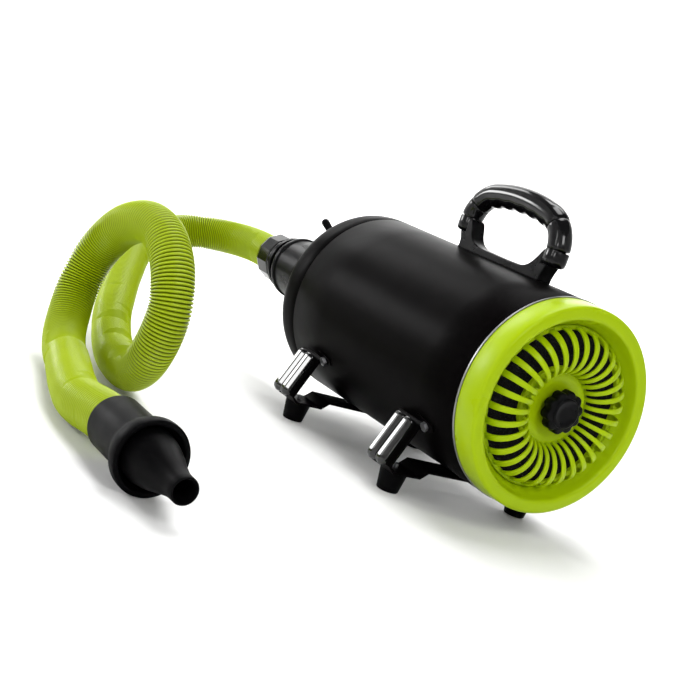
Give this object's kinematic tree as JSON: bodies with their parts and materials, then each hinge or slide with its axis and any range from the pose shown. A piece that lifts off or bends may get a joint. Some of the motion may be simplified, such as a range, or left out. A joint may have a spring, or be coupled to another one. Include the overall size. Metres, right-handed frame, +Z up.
{
  "type": "pet dryer",
  "caption": "Cylinder pet dryer with a ribbed intake, carry handle, leg brackets and a coiled hose that ends in a rubber nozzle.",
  "frame": {"origin": "on the floor under the middle of the dryer's box, without the hose", "axes": "+X along the body towards the intake, +Z up, the hose lies on the -Y side"},
  "size_m": [0.7263, 0.561, 0.3061],
  "materials": {
    "body_paint": "satin",
    "green_plastic": "gloss",
    "green_hose": "satin",
    "black_plastic": "satin",
    "grip_gloss": "gloss",
    "black_rubber": "matte",
    "pad_gloss": "gloss",
    "steel": "brushed",
    "silver_metal": "satin",
    "brass_metal": "satin",
    "copper_winding": "satin",
    "motor_steel": "satin",
    "foam": "matte"
  },
  "bodies": {
    "base": {"body_tube": "body_paint", "rear_cap": "body_paint", "seam_ring": "steel", "intake_ring": "green_plastic", "outlet_collar": "black_plastic", "outlet_spigot": "black_plastic", "front_bracket": "body_paint", "rear_bracket": "body_paint", "arm_pads": "pad_gloss", "arm_bolts": "steel", "feet": "black_rubber", "foot_screws": "steel", "handle_base": "black_plastic", "handle_bolts": "steel", "grip_sleeve": "grip_gloss", "grip_arms": "grip_gloss", "grip_caps": "grip_gloss", "switch_boss": "black_plastic", "switch_body": "black_plastic", "inlet_box": "black_plastic", "inlet_pins": "brass_metal", "inlet_screws": "steel", "grille_stud": "steel", "bulkhead": "black_plastic", "bulkhead_screws": "steel", "foam_liner": "foam", "fan_housing": "silver_metal", "diffuser": "silver_metal", "motor_can": "motor_steel", "field_core": "motor_steel", "front_bearing": "steel", "rear_bearing": "steel", "brush_holders": "brass_metal", "front_motor_ring": "black_rubber", "rear_motor_ring": "black_rubber", "bell_mouth": "black_plastic", "hose": "green_hose", "hose_cuff": "black_rubber"},
    "cover": {"grille": "green_plastic", "filter_foam": "foam"},
    "knob": {"knob": "black_plastic", "knob_insert": "brass_metal"},
    "rotor": {"first_fan": "silver_metal", "second_fan": "silver_metal", "motor_shaft": "steel", "armature": "copper_winding", "commutator": "copper_winding"},
    "switch": {"switch_lever": "black_rubber"},
    "nut": {"hose_nut": "black_plastic"},
    "nozzle": {"nozzle": "black_rubber"}
  },
  "joints": [
    {"name": "cover_slide", "type": "slide", "parent": "base", "child": "cover", "axis": [1, 0, 0], "range_m": [0, 0.07]},
    {"name": "knob_turn", "type": "hinge", "parent": "cover", "child": "knob", "pos_m": [0.235, -0.008, 0.13], "axis": [1, 0, 0], "continuous": true},
    {"name": "rotor_spin", "type": "hinge", "parent": "base", "child": "rotor", "pos_m": [0, -0.008, 0.13], "axis": [1, 0, 0], "continuous": true},
    {"name": "switch_tilt", "type": "hinge", "parent": "base", "child": "switch", "pos_m": [-0.13369, -0.05161, 0.18158], "axis": [0, 0.8192, 0.5736], "range_deg": [-10, 10]},
    {"name": "nut_turn", "type": "hinge", "parent": "base", "child": "nut", "pos_m": [-0.225, -0.058, 0.138], "axis": [1, 0, 0], "continuous": true},
    {"name": "nozzle_pull", "type": "slide", "parent": "base", "child": "nozzle", "axis": [1, 0, 0], "range_m": [0, 0.06]}
  ]
}
